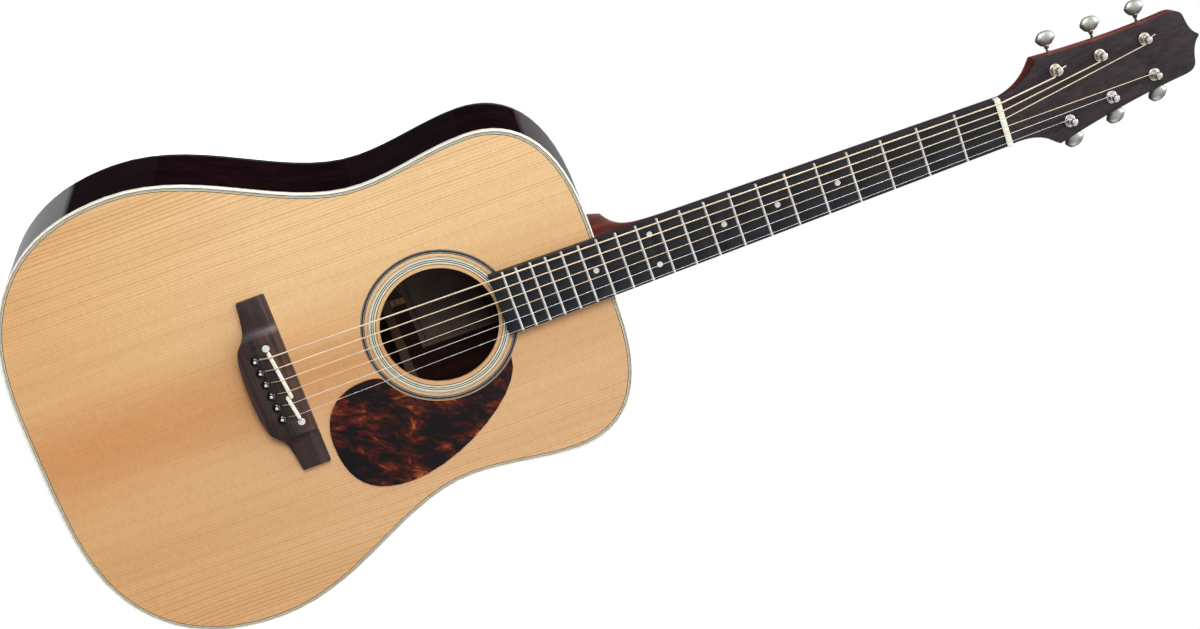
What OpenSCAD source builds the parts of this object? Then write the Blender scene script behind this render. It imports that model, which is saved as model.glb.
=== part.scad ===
// Steel-string acoustic guitar with a square-shouldered body and open-geared tuners.
// Each node is drawn lying flat: x across (treble positive), y from the tail up the neck,
// z out of the soundboard. upright() then stands it with the neck along +Z and the
// soundboard facing -Y, with the origin at the centre of the strap pin's knob.

/* [Body] */
// Length of the body along its centre line
body_len = 512; // [500:1:520]
// Depth of the body at the tail
tail_depth = 122; // [116:1:126]
// Depth of the body at the neck joint
heel_depth = 100; // [96:1:106]
// Half the width of the lower bout
lower_half = 203; // [198:1:206]
// Half the width of the waist
waist_half = 139; // [134:1:142]
// Half the width of the upper bout
upper_half = 149; // [145:1:152]
// Radius of the arched back
back_r = 4500; // [3800:50:6000]
// Thickness of the soundboard
top_t = 3; // [2.6:0.1:3.4]
// Thickness of the back
back_t = 2.8; // [2.4:0.1:3.2]
// Thickness of the sides
side_t = 2.2; // [2:0.1:2.4]
// Width of the white edge binding
binding_w = 1.6; // [1.4:0.1:1.8]
// Height of the white edge binding
binding_h = 6; // [5:0.5:7]
// Width of the lines inlaid inside the binding
purfling_w = 2.6; // [2.2:0.1:3]

/* [Soundhole] */
// Distance of the soundhole's centre from the tail
hole_y = 362.5; // [360:0.5:364]
// Radius of the soundhole
hole_r = 51; // [49:0.5:52]

/* [Neck] */
// Open length of the strings, from the nut to the saddle
scale_len = 644; // [640:0.5:648]
// Width of the fretboard at the nut
nut_w = 43; // [42:0.5:44]
// Width of the fretboard at its body end
end_w = 56; // [55:0.5:57]
// Thickness of the fretboard
board_t = 6.3; // [6:0.1:6.6]
// Depth of the neck's wood behind the nut
neck_d = 14; // [13:0.5:15]
// Angle that the headstock leans back
head_tilt = 13; // [12:0.5:16]
// Thickness of the headstock with its veneer
head_t = 15; // [14:0.5:16]

/* [Bridge] */
// Width of the bridge across the body
bridge_w = 160; // [154:1:166]
// Height of the bridge's middle block
bridge_h = 8; // [7.5:0.5:9]
// Distance between neighbouring strings at the bridge
string_gap = 11.3; // [11:0.1:11.6]
// Height of the saddle's top over the soundboard
saddle_h = 11.3; // [11:0.1:12]

/* [Tuners] */
// Radius of each string post
post_r = 3; // [2.9:0.1:3.1]

/* [Hidden] */
$fn = 64;
eps = 0.01;

// Where things lie along the body and the neck
knob_y = -9;                                 // centre of the strap pin's knob
function fret(n) = scale_len * (1 - pow(2, -n / 12));
nut_y = body_len + fret(14);                 // the body meets the neck at the 14th fret
nut_t = 5;                                   // thickness of the nut
head_y = nut_y + nut_t;                      // where the headstock's face begins
head_z = 4;                                  // height of that face at the nut
board_y = nut_y - fret(20) - 12;             // the fretboard's body end
fret_n = 20;
fret_z = 1.1;                                // height of a fret's crown
string_z = board_t + fret_z + 0.6;           // underside of the strings at the nut
rod_z = -8.5;                                // axis of the truss rod
lining_w = 6;
lining_h = 12;
block_half = 38;                             // half the width of the end blocks
tenon_half = 13;                             // half the width of the neck's tenon
back_slope = atan((tail_depth - heel_depth) / body_len);

// Half the body's outline: corner points of five cubic curves, from the tail to the neck
HALF = [[0, 0], [60, 0], [105, 0], [143, 23], [186, 49], [lower_half, 91], [lower_half, 142],
    [lower_half, 221], [waist_half, 277], [waist_half, 343],
    [waist_half, 376], [upper_half, 405], [upper_half, 438],
    [upper_half, 477], [124, body_len], [42, body_len]];
HALF_STEPS = [10, 12, 14, 8, 14];

function cubic(p, t) = pow(1 - t, 3) * p[0] + 3 * pow(1 - t, 2) * t * p[1]
    + 3 * (1 - t) * t * t * p[2] + pow(t, 3) * p[3];
function cubic_slope(p, t) = 3 * pow(1 - t, 2) * (p[1] - p[0])
    + 6 * (1 - t) * t * (p[2] - p[1]) + 3 * t * t * (p[3] - p[2]);
function right_of(v) = [v[1], -v[0]] / norm(v);
function piece(k) = [for (i = [0:3]) HALF[3 * k + i]];
// The half outline moved inwards by inset, as points from the tail to the neck
function half_rim(inset) = [for (k = [0:4]) for (i = [0:HALF_STEPS[k] - 1])
        cubic(piece(k), i / HALF_STEPS[k])
        - inset * right_of(cubic_slope(piece(k), i / HALF_STEPS[k])),
    [HALF[15][0], body_len - inset]];
function mirrored(pts) = [for (i = [len(pts) - 1:-1:0]) if (pts[i][0] > eps) [-pts[i][0], pts[i][1]]];
function rim(inset) = concat(half_rim(inset), mirrored(half_rim(inset)));

// Strings from low E to high E: radius, side of the head (-1 bass), place along the head
STRINGS = [[0.68, -1, 0], [0.53, -1, 1], [0.41, -1, 2], [0.31, 1, 2], [0.2, 1, 1], [0.15, 1, 0]];
nut_gap = 7.1;
POST_V = [56.4, 99.6, 143.6];                // the posts' distances up the headstock
POST_X = [23.6, 19.5, 16.7];                 // and from its centre line
head_taper = 5.4;                            // slope of the headstock's edges
bushing_h = 2.2;
coil_w = 6.4;                                // height of the highest winding over the face
post_top = 10.5;
gear_r = 4;                                  // pitch radius of the gear
gear_t = 2.8;
worm_y = 5.8;                                // distance from the post's axis to the worm's
worm_z = -head_t - 3.9;
teeth = 14;                                  // teeth of a post's gear
worm_pitch = 2 * PI * gear_r / teeth;
worm_core = 1.3;
worm_tip = 2.2;
ear_x = 4.2;                                 // inner face of the ears that hold the worm
ear_t = 1.6;
plate_t = 1.2;
button_x = 24;                               // centre of the button from the post's axis

// ---------- placing ----------
module upright() translate([0, -tail_depth / 2, -knob_y]) rotate([90, 0, 0]) children();
module on_head() translate([0, head_y, head_z]) rotate([-head_tilt, 0, 0]) children();
module at_post(i) translate([STRINGS[i][1] * POST_X[STRINGS[i][2]], POST_V[STRINGS[i][2]], 0])
    mirror([STRINGS[i][1] < 0 ? 1 : 0, 0, 0]) rotate([0, 0, head_taper]) children();

// ---------- shared shapes ----------
module plate(inset, z0, z1) translate([0, 0, z0]) linear_extrude(z1 - z0) polygon(rim(inset));
module ring(outer, inner, z0, z1) translate([0, 0, z0]) linear_extrude(z1 - z0)
    difference() {
        polygon(rim(outer));
        polygon(rim(inner));
    }
// Everything on the front side of the arched back's outer face, moved in by inset
module before_back(inset) translate([0, 0, -tail_depth]) rotate([back_slope, 0, 0])
    translate([0, -60, back_r]) rotate([-90, 0, 0])
        cylinder(r = back_r - inset, h = body_len + 120, $fn = 1440);
module half_space(side, gap) translate([side > 0 ? gap : -300 - gap, -50, -200]) cube([300, 650, 260]);
module slot_2d(a, b, w) {
    d = b - a;
    translate(a) rotate(atan2(d[1], d[0])) polygon(concat(
        [for (t = [90:15:270]) w / 2 * [cos(t), sin(t)]],
        [for (t = [-90:15:90]) [norm(d), 0] + w / 2 * [cos(t), sin(t)]]));
}
// A closed surface through rings that have equal numbers of points and turn clockwise
// seen along the way from the first ring to the last
module skin(rings) {
    n = len(rings[0]);
    m = len(rings);
    polyhedron(
        points = [for (ring = rings) for (p = ring) p],
        faces = concat([[for (i = [n - 1:-1:0]) i]],
            [for (k = [0:m - 2]) for (i = [0:n - 1]) let (j = (i + 1) % n, a = k * n, b = a + n)
                each [[a + i, a + j, b + j], [a + i, b + j, b + i]]],
            [[for (i = [0:n - 1]) (m - 1) * n + i]]),
        convexity = 6);
}

// ---------- body ----------
module pin_holes(r, z0, z1) for (i = [0:5]) translate([pin_x(i), pin_y(i), z0])
    cylinder(r = r, h = z1 - z0, $fn = 24);

module soundboard() color("burlywood") upright() difference() {
    union() {
        plate(binding_w, -top_t, -1.5);
        plate(binding_w + purfling_w, -1.5, 0);
    }
    translate([0, hole_y, -10]) cylinder(r = hole_r, h = 20, $fn = 96);
    translate([0, hole_y, -1]) rosette_ring(inner_ring);
    translate([0, hole_y, -1]) rosette_ring(outer_ring);
    pin_holes(2.5, -10, 10);
}

module back_space() intersection() {
    plate(binding_w, -tail_depth - 10, -60);
    difference() {
        before_back(0);
        before_back(back_t);
    }
}
strip_half = 3;
module back_half(side) intersection() {
    back_space();
    half_space(side, strip_half);
}
module back_bass() color([0.2, 0.1, 0.08]) upright() back_half(-1);
module back_treble() color([0.2, 0.1, 0.08]) upright() back_half(1);
module back_strip() color("tan") upright() intersection() {
    back_space();
    translate([-strip_half, -5, -200]) cube([2 * strip_half, 600, 200]);
}

module side_half(side) intersection() {
    difference() {
        intersection() {
            union() {
                ring(0, side_t, -tail_depth - 10, -binding_h);
                ring(binding_w, side_t, -binding_h, -top_t);
            }
            before_back(back_t);
        }
        binding_back_shape();
        translate([-tenon_half, body_len - 10, -86]) cube([2 * tenon_half, 20, 90]);
        translate([-strip_half, -5, -200]) cube([2 * strip_half, 20, 250]);
    }
    half_space(side, 0);
}
module side_bass() color([0.16, 0.07, 0.06]) upright() side_half(-1);
module side_treble() color([0.16, 0.07, 0.06]) upright() side_half(1);

module tail_wedge() color("ivory") upright() difference() {
    intersection() {
        ring(0, side_t, -tail_depth - 10, -binding_h);
        before_back(back_t);
        translate([-strip_half, -5, -200]) cube([2 * strip_half, 20, 250]);
    }
    binding_back_shape();
    translate([0, 20, -tail_depth / 2]) rotate([90, 0, 0]) cylinder(r = 2.5, h = 40, $fn = 32);
}

module binding_top() color("ivory") upright() ring(0, binding_w, -binding_h, 0);

module binding_back_shape() intersection() {
    ring(0, binding_w, -tail_depth - 10, -60);
    difference() {
        before_back(0);
        before_back(binding_h);
    }
}
module binding_back() color([0.1, 0.06, 0.05]) upright() binding_back_shape();

module purfling_top() color("dimgray") upright()
    ring(binding_w, binding_w + purfling_w, -1.5, 0);

// Cuts the lining strips off where the two end blocks sit
module past_blocks() difference() {
    translate([-300, -50, -200]) cube([600, 650, 260]);
    translate([-block_half, -20, -200]) cube([2 * block_half, 80, 260]);
    translate([-block_half, body_len - 80, -200]) cube([2 * block_half, 90, 260]);
}
module lining_top() color("wheat") upright() intersection() {
    ring(side_t, side_t + lining_w, -top_t - lining_h, -top_t);
    past_blocks();
}
module lining_back() color("wheat") upright() intersection() {
    ring(side_t, side_t + lining_w, -tail_depth - 10, -60);
    difference() {
        before_back(back_t);
        before_back(back_t + lining_h);
    }
    past_blocks();
}

neck_block_t = 44;
module neck_block() color("peru") upright() difference() {
    intersection() {
        plate(side_t, -tail_depth, -top_t);
        before_back(back_t);
        translate([-block_half, body_len - neck_block_t, -200]) cube([2 * block_half, 80, 250]);
    }
    translate([-tenon_half, body_len - 20, -86]) cube([2 * tenon_half, 40, 90]);
    translate([0, body_len, rod_z]) rotate([90, 0, 0]) cylinder(r = 2.6, h = 100, $fn = 32);
}
module tail_block() color("peru") upright() difference() {
    intersection() {
        plate(side_t, -tail_depth - 10, -top_t);
        before_back(back_t);
        translate([-block_half, -20, -200]) cube([2 * block_half, 40, 250]);
    }
    translate([0, 50, -tail_depth / 2]) rotate([90, 0, 0]) cylinder(r = 2.5, h = 100, $fn = 32);
}

// ---------- braces ----------
brace_z = -top_t;
cross_y = 280;                               // where the X braces cross
x_angle = 42.3;                              // slope of each X brace
module brace_room() plate(side_t + lining_w, -60, brace_z);
// Side view of a brace that is deepest in the middle and thin at both ends
module scallop(half_a, half_b, h) polygon([[-half_a, 0], [half_b, 0], [half_b, -3],
    [half_b - 30, -3.5], [half_b * 0.5, -h * 0.62], [half_b * 0.3, -h * 0.7], [10, -h], [-10, -h],
    [-half_a * 0.3, -h * 0.7], [-half_a * 0.5, -h * 0.62], [-half_a + 30, -3.5], [-half_a, -3]]);
module x_bar(side) intersection() {
    translate([0, cross_y, brace_z]) rotate([0, 0, side * x_angle]) rotate([90, 0, 0])
        translate([0, 0, -4]) linear_extrude(8) scallop(260, 260, 15);
    brace_room();
}
module lap(z0, z1, side) translate([0, cross_y, z0]) rotate([0, 0, side * x_angle])
    translate([-20, -4, 0]) cube([40, 8, z1 - z0]);
module x_brace_bass() color("wheat") upright() difference() {
    x_bar(-1);
    lap(brace_z - 7.5, 1, 1);
}
module x_brace_treble() color("wheat") upright() difference() {
    x_bar(1);
    lap(-60, brace_z - 7.5, -1);
}
trans_y = 432;
module transverse_brace() color("wheat") upright() difference() {
    intersection() {
        translate([0, trans_y + 6, brace_z]) rotate([90, 0, 0]) linear_extrude(12)
            polygon([[-145, 0], [145, 0], [145, -4], [100, -15], [-100, -15], [-145, -4]]);
        brace_room();
    }
    translate([0, trans_y + 20, rod_z]) rotate([90, 0, 0]) cylinder(r = 4.4, h = 40, $fn = 32);
}
// A light brace of width w and height h from a to b, thinned towards both ends
module light_brace(a, b, w, h) {
    d = b - a;
    len = norm(d);
    translate([a[0], a[1], brace_z]) rotate([0, 0, atan2(d[1], d[0])]) rotate([90, 0, 0])
        translate([0, 0, -w / 2]) linear_extrude(w)
            polygon([[0, 0], [len, 0], [len, -2], [len * 0.7, -h], [len * 0.3, -h], [0, -2]]);
}
module tone_bars() color("wheat") upright() {
    light_brace([-88, 118], [84, 180], 7, 12);
    light_brace([-40, 72], [108, 148], 7, 11);
}
module finger_braces() color("wheat") upright() intersection() {
    for (s = [-1, 1]) {
        light_brace([s * 86, 222], [s * 145, 262], 6, 8);
        light_brace([s * 120, 194], [s * 172, 222], 6, 8);
    }
    brace_room();
}
module soundhole_braces() color("wheat") upright() for (s = [-1, 1])
    light_brace([s * 64, 354], [s * 64, 420], 12, 4);
module bridge_plate() color("peru") upright() difference() {
    translate([0, 0, brace_z - 2.5]) linear_extrude(2.5)
        polygon([[-36, 238], [36, 238], [82, 194], [-82, 194]]);
    pin_holes(2.5, -10, 10);
}

BACK_BRACES = [[85, 18, 8], [200, 18, 8], [318, 8, 15], [440, 8, 15]];
// Space on the back's inner face, h high
module on_back(h) intersection() {
    plate(side_t + lining_w, -tail_depth, -50);
    difference() {
        before_back(back_t);
        before_back(back_t + h);
    }
}
module back_braces() color("tan") upright() for (b = BACK_BRACES) intersection() {
    on_back(b[2]);
    translate([-200, b[0] - b[1] / 2, -200]) cube([400, b[1], 250]);
}
module centre_cleats() color("tan") upright() for (span = [[25, 70], [100, 185], [215, 308], [412, 430]])
    intersection() {
        on_back(2);
        translate([-9, span[0], -200]) cube([18, span[1] - span[0], 250]);
    }
module label() color("beige") upright() intersection() {
    difference() {
        before_back(back_t);
        before_back(back_t + 0.3);
    }
    translate([-48, 335, -200]) cube([96, 72, 250]);
}

// ---------- trim on the soundboard ----------
inner_ring = [54, 61.2];                     // radii of the many-lined rosette ring
outer_ring = [63.8, 67.4];                   // radii of the plain outer ring
module rosette_ring(radii) difference() {
    cylinder(r = radii[1], h = 1, $fn = 96);
    translate([0, 0, -1]) cylinder(r = radii[0], h = 3, $fn = 96);
}
module rosette_inner() color("gainsboro") upright() translate([0, hole_y, -1]) rosette_ring(inner_ring);
module rosette_outer() color("dimgray") upright() translate([0, hole_y, -1]) rosette_ring(outer_ring);

// Outline of the pickguard: cubic curves round its outside, then an arc along the rosette
GUARD = [[48, 410.5], [80, 411], [124, 340], [124, 293], [124, 255], [105, 240.5], [70, 240.5],
    [45, 240.5], [24, 255], [24, 285], [24, 292], [25, 297], [28, 300.6]];
guard_r = outer_ring[1] + 0.6;
module pickguard() color([0.2, 0.09, 0.07]) upright() linear_extrude(0.8) polygon(concat(
    [for (k = [0:3]) for (i = [0:9]) cubic([for (j = [0:3]) GUARD[3 * k + j]], i / 10)],
    [for (a = [-65:5:40]) [guard_r * cos(a), hole_y + guard_r * sin(a)]]));

// ---------- bridge ----------
bridge_front = 234;
function pin_x(i) = (i - 2.5) * string_gap;
function pin_y(i) = 206.2 + 0.6 * i;
SADDLE_BASS = [[-30.6, 219.5], [11.6, 223.8]];
SADDLE_TREBLE = [[11.6, 220.3], [31.3, 223.4]];
// Right half of the bridge's rear edge, from its middle to its wing
BELLY = [[0, 190.5], [14, 190.5], [30, 191.3], [38, 194.3], [43, 196.2], [45, 202.3], [54, 204.8],
    [60, 206.6], [70, 208], [bridge_w / 2 - 1, 208.8]];
function belly() = concat([for (k = [0:2]) for (i = [0:7]) cubic([for (j = [0:3]) BELLY[3 * k + j]], i / 8)],
    [BELLY[9], [bridge_w / 2, 209.5], [bridge_w / 2, bridge_front - 1], [bridge_w / 2 - 1, bridge_front]]);
wing_h = 3.6;
scoop_r = 12;
scoop_x = 56;                                // middle of the hollow where each wing meets the belly
module bridge() color([0.24, 0.15, 0.12]) upright() difference() {
    linear_extrude(bridge_h) polygon(concat(belly(), mirrored(belly())));
    for (s = [-1, 1]) {
        translate([s * scoop_x, 150, wing_h + scoop_r]) rotate([-90, 0, 0]) cylinder(r = scoop_r, h = 120);
        translate([s > 0 ? scoop_x : -scoop_x - 100, 150, wing_h]) cube([100, 120, 20]);
    }
    translate([0, 0, bridge_h - 5]) linear_extrude(10) {
        slot_2d(SADDLE_BASS[0], SADDLE_BASS[1], 3);
        slot_2d(SADDLE_TREBLE[0], SADDLE_TREBLE[1], 3);
    }
    for (p = DOTS) translate([p[0], p[1], bridge_h - 0.8]) cylinder(r = 3.2, h = 5, $fn = 32);
    pin_holes(2.5, -1, 20);
    for (i = [0:5]) translate([pin_x(i) - STRINGS[i][0], pin_y(i), bridge_h - 1.4])
        cube([2 * STRINGS[i][0], 7.6, 5]);
}
DOTS = [[-35.6, 219], [36.2, 223.7]];
module bridge_dots() color("white") upright() for (p = DOTS)
    translate([p[0], p[1], bridge_h - 0.8]) cylinder(r = 3.2, h = 1, $fn = 32);
module saddle(ends) translate([0, 0, bridge_h - 5]) linear_extrude(saddle_h - bridge_h + 5)
    slot_2d(ends[0], ends[1], 3);
module saddle_bass() color("ivory") upright() saddle(SADDLE_BASS);
module saddle_treble() color("ivory") upright() saddle(SADDLE_TREBLE);

// A bridge pin: tapered shank's plain cylinder, a collar and a domed head
module bridge_pin() rotate_extrude($fn = 32) polygon([[0, -14], [1.6, -14], [2.5, -12], [2.5, 0],
    [3.9, 0], [3.9, 0.8], [3.6, 1.8], [2.7, 2.6], [1.4, 3], [0, 3.1]]);
module bridge_pins() color("black") upright() difference() {
    for (i = [0:5]) translate([pin_x(i), pin_y(i), bridge_h]) bridge_pin();
    for (i = [0:5]) translate([pin_x(i) - STRINGS[i][0], pin_y(i) + 1.2, bridge_h - 20])
        cube([2 * STRINGS[i][0], 8, 20]);
}

// ---------- neck ----------
function board_w(y) = nut_w + (end_w - nut_w) * (nut_y - y) / (nut_y - board_y);
heel_z = -heel_depth + 3.6;                  // the heel's foot, where the cap is glued
// Depth of the neck's section at y: a slow taper, then the heel's fast growing curve
heel_foot = 12;                              // how far the heel's foot stands out of the body
function neck_depth(y) = let (s = y - body_len - heel_foot)
    neck_d + 3 * min(1, (nut_y - y) / 300) + 98 * exp(-max(0, s) / 12) + 1.5 * max(0, -s);
// One D-shaped section of the neck, from the bass edge under to the treble edge
ARC_STEPS = 20;
function d_section(y, top, half, depth) = [for (i = [0:ARC_STEPS]) let (a = 180 * i / ARC_STEPS)
    [half * (cos(a) >= 0 ? -1 : 1) * pow(abs(cos(a)), 0.9), y, top - depth * pow(sin(a), 0.92)]];
NECK_Y = [0, 3, 6, 9, 12, 15, 18, 22, 26, 30, 35, 40, 46, 54, 64, 80, 110, 160, 220, 290];
HEAD_BLEND = [0, 0.15, 0.3, 0.5, 0.7, 0.85, 1];
blend_len = 46;
function head_drop(y) = max(0, y - head_y) * tan(head_tilt);
function shaft_rings() = concat(
    [for (s = NECK_Y) let (y = body_len + s) d_section(y, 0, board_w(y) / 2, neck_depth(y))],
    [for (t = HEAD_BLEND) let (y = head_y + blend_len * t)
        d_section(y, -head_drop(y), nut_w / 2, neck_d + 1 - 6 * t * t * (3 - 2 * t))]);
module neck_shaft(z_low) intersection() {
    skin(shaft_rings());
    translate([-100, body_len, z_low]) cube([200, 500, 200 - z_low]);
}

// Outline of the headstock up its treble side: the flare from the nut, the long edge, the top
// corner and the hollow up to the pointed tip
HEAD_FLARE = [[nut_w / 2, 0], [22, 24], [29.5, 33], [39.1, 42.5]];
HEAD_EDGE = [[39.1, 43.5], [33.5, 82], [28.8, 125], [28.6, 173]];
HEAD_CORNER = [[28.6, 173], [28.3, 180], [26.5, 184], [20.5, 185]];
HEAD_SCOOP = [[20.5, 185], [11.5, 186.3], [4.5, 188.8], [1, 194.5]];
function head_half() = concat([[nut_w / 2, -6]],
    [for (i = [0:10]) cubic(HEAD_FLARE, i / 10)], [for (i = [0:9]) cubic(HEAD_EDGE, i / 10)],
    [for (i = [0:5]) cubic(HEAD_CORNER, i / 6)], [for (i = [0:6]) cubic(HEAD_SCOOP, i / 6)]);
// The headstock between two depths, thinner at the nut until the flare reaches full width
flare_v = 41;
flare_t = 5;
module head_slab(w0, w1) intersection() {
    on_head() translate([0, 0, w0]) linear_extrude(w1 - w0)
        polygon(concat(head_half(), mirrored(head_half())));
    translate([-100, head_y, -100]) cube([200, 300, 200]);
}
veneer_t = 3.5;
module neck() color([0.36, 0.16, 0.1]) upright() difference() {
    union() {
        neck_shaft(heel_z);
        difference() {
            head_slab(-head_t, -veneer_t);
            on_head() translate([-50, 0, 0]) rotate([90, 0, 90]) linear_extrude(100)
                polygon([[-20, -head_t - 5], [flare_v, -head_t - 5], [flare_v, -head_t],
                    [0, -flare_t], [-20, -flare_t]]);
        }
        translate([-tenon_half, body_len - 20, -86]) cube([2 * tenon_half, 20.5, 86 - binding_h]);
    }
    translate([0, nut_y - 10, rod_z]) rotate([90, 0, 0]) cylinder(r = 2.6, h = 400, $fn = 32);
    head_bores(-head_t - 1, 1);
    on_head() for (i = [0:5]) at_post(i) for (p = SCREW_Y) translate([0, p, -head_t - 1])
        cylinder(r = 1.2, h = 8, $fn = 16);
}
// Each post's hole through the headstock, wider at the front for the bushing
module head_bores(w0, w1) on_head() for (i = [0:5]) at_post(i) {
    translate([0, 0, w0]) cylinder(r = post_r + 0.3, h = w1 - w0, $fn = 32);
    translate([0, 0, -8]) cylinder(r = 4, h = 20, $fn = 32);
}
module heel_cap() color([0.12, 0.07, 0.06]) upright() intersection() {
    skin(shaft_rings());
    translate([-100, body_len, heel_z - 2.6]) cube([200, 60, 2.6]);
}
module headplate() color([0.25, 0.2, 0.2]) upright() difference() {
    head_slab(-veneer_t, 0);
    head_bores(-head_t, 1);
}

module board_2d() polygon([[-end_w / 2, board_y], [end_w / 2, board_y], [nut_w / 2, nut_y],
    [-nut_w / 2, nut_y]]);
slot_w = 0.6;
slot_d = 1.8;
MARKERS = concat([for (n = [5, 7, 9, 15]) [0, n]], [[-14.2, 12], [14.2, 12]]);
function marker_y(n) = nut_y - (fret(n) + fret(n - 1)) / 2;
module marker_discs(r, h) for (m = MARKERS) translate([m[0], marker_y(m[1]), board_t - 1])
    cylinder(r = r, h = h, $fn = 32);
module fretboard() color([0.13, 0.12, 0.13]) upright() difference() {
    linear_extrude(board_t) board_2d();
    for (n = [1:fret_n]) translate([-50, nut_y - fret(n) - slot_w / 2, board_t - slot_d])
        cube([100, slot_w, 5]);
    marker_discs(2.5, 3);
}
module frets() color("silver") upright() for (n = [1:fret_n]) {
    y = nut_y - fret(n);
    half = board_w(y) / 2 - 0.3;
    translate([-half, y, board_t]) rotate([90, 0, 90]) linear_extrude(2 * half) polygon(concat(
        [[-slot_w / 2, 0], [-slot_w / 2, -slot_d], [slot_w / 2, -slot_d], [slot_w / 2, 0]],
        [for (a = [0:22.5:180]) [1.2 * cos(a), fret_z * sin(a)]]));
}
module fret_markers() color("white") upright() marker_discs(2.5, 1);

function nut_x(i) = (i - 2.5) * nut_gap;
module nut() color("ivory") upright() difference() {
    translate([-nut_w / 2, nut_y, 0]) cube([nut_w, nut_t, string_z + 0.7]);
    for (i = [0:5]) translate([nut_x(i) - STRINGS[i][0], nut_y - 1, string_z])
        cube([2 * STRINGS[i][0], nut_t + 2, 5]);
}

truss_nut_y = 447;
module truss_rod() color("gray") upright() translate([0, nut_y - 12, rod_z]) rotate([90, 0, 0])
    cylinder(r = 2.5, h = nut_y - 12 - truss_nut_y - 8, $fn = 32);
module truss_nut() color("gold") upright() translate([0, truss_nut_y + 14, rod_z]) rotate([90, 0, 0])
    difference() {
        cylinder(r = 4, h = 14, $fn = 32);
        translate([0, 0, -1]) cylinder(r = 2.55, h = 8, $fn = 32);
        translate([0, 0, 8]) cylinder(d = 5.5, h = 10, $fn = 6);
    }

// ---------- strings ----------
function on_saddle(i) = let (e = i < 4 ? SADDLE_BASS : SADDLE_TREBLE)
    e[0][1] + (e[1][1] - e[0][1]) * (pin_x(i) - e[0][0]) / (e[1][0] - e[0][0]);
// A point of the headstock's frame as a point of the flat guitar's frame
function from_head(x, v, w) = [x, head_y + v * cos(head_tilt) + w * sin(head_tilt),
    head_z - v * sin(head_tilt) + w * cos(head_tilt)];
// Distance that a string stops short of its post, so that the turning windings stay clear
function short_of(r) = sqrt(pow(post_r + 3 * r + 0.35, 2) - pow(post_r + r, 2));
function string_route(i) = let (r = STRINGS[i][0], s = STRINGS[i][1], k = STRINGS[i][2])
    [[pin_x(i), pin_y(i) + 4, bridge_h - 1.4 + r], [pin_x(i), on_saddle(i) - 1.6, saddle_h + r],
     [pin_x(i), on_saddle(i) + 1.6, saddle_h + r], [nut_x(i), nut_y + nut_t, string_z + r],
     from_head(s * (POST_X[k] - post_r - r), POST_V[k] - short_of(r), coil_w)];
// A string as straight bars end to end, a hairline apart at the saddle and at the nut
bar_gap = 0.02;
function string_ring(p, r) = [for (a = [0:30:330]) p + r * [cos(a), 0, sin(a)]];
module string(i) {
    q = string_route(i);
    r = STRINGS[i][0];
    for (k = [0:3]) {
        way = (q[k + 1] - q[k]) / norm(q[k + 1] - q[k]);
        skin([string_ring(q[k] + (k > 0 ? bar_gap : 0) * way, r), string_ring(q[k + 1], r)]);
    }
}
module wound_strings() color("peru") upright() for (i = [0:3]) string(i);
module plain_strings() color("silver") upright() for (i = [4:5]) string(i);

// ---------- tuners ----------
SCREW_Y = [-9.5, 13];
module tuner_plate() difference() {
    translate([0, 0, -head_t - plate_t]) {
        linear_extrude(plate_t) difference() {
            slot_2d([0, -9], [0, 13], 12);
            circle(r = post_r + 0.05);
            for (p = SCREW_Y) translate([0, p]) circle(r = 1.2, $fn = 16);
        }
        for (s = [-1, 1]) translate([s > 0 ? ear_x : -ear_x - ear_t, worm_y - 3, -5.4])
            cube([ear_t, 6, 5.4]);
    }
    translate([-10, worm_y, worm_z]) rotate([0, 90, 0]) cylinder(r = worm_core + 0.05, h = 20, $fn = 32);
}
module tuner_plates() color("silver") upright() on_head() for (i = [0:5]) at_post(i) tuner_plate();
module tuner_bushings() color("silver") upright() on_head() for (i = [0:5]) at_post(i) difference() {
    rotate_extrude() polygon([[0, -8], [4, -8], [4, 0], [5.6, 0], [5.6, 0.9], [5.1, 1.4],
        [4.4, 1.4], [4.2, bushing_h], [0, bushing_h]]);
    translate([0, 0, -10]) cylinder(r = post_r + 0.05, h = 20);
}
module tuner_screws() color("silver") upright() on_head() for (i = [0:5]) at_post(i)
    for (p = SCREW_Y) translate([0, p, -head_t - plate_t]) rotate([180, 0, 0]) {
        translate([0, 0, -7.5]) cylinder(r = 1.2, h = 7.5, $fn = 16);
        rotate_extrude($fn = 24) polygon([[0, 0], [2.3, 0], [2.1, 0.7], [1.2, 1.2], [0, 1.3]]);
    }

// A worm thread of round-topped section, as a helix about the x axis
THREAD_STEPS = 18;
function thread_ring(k) = let (a = 360 * k / THREAD_STEPS, x = worm_pitch * (k / THREAD_STEPS - 2))
    [for (q = [[worm_core - 0.3, -0.4], [worm_tip, -0.17], [worm_tip, 0.17], [worm_core - 0.3, 0.4]])
        [x + q[1], q[0] * cos(a), q[0] * sin(a)]];
module worm() skin([for (k = [0:3.5 * THREAD_STEPS]) thread_ring(k)]);

// Oval plan of a button, and the button as bevelled slices from one face to the other
function oval(a, b, z) = [for (i = [0:27]) [a * cos(360 * i / 28), b * sin(360 * i / 28), z]];
module button() skin([for (q = [[0.6, 3.8], [0.86, 2.9], [1, 1.1], [1, -1.1], [0.86, -2.9], [0.6, -3.8]])
    oval(6.7 * q[0], 9.7 * q[0], q[1])]);
module key(i) color("silver") upright() on_head() at_post(i) translate([0, worm_y, worm_z]) {
    translate([-ear_x - ear_t - 0.6, 0, 0]) rotate([0, 90, 0])
        cylinder(r = worm_core, h = button_x + ear_x, $fn = 32);
    worm();
    translate([ear_x + ear_t + 0.3, 0, 0]) rotate([0, 90, 0]) cylinder(r1 = 2.4, r2 = 1.7, h = 4, $fn = 32);
    translate([13.5, 0, 0]) rotate([0, 90, 0]) cylinder(r1 = 1.6, r2 = 3.2, h = 5, $fn = 32);
    translate([button_x, 0, 0]) button();
}
module key_low_e() key(0);
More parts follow.
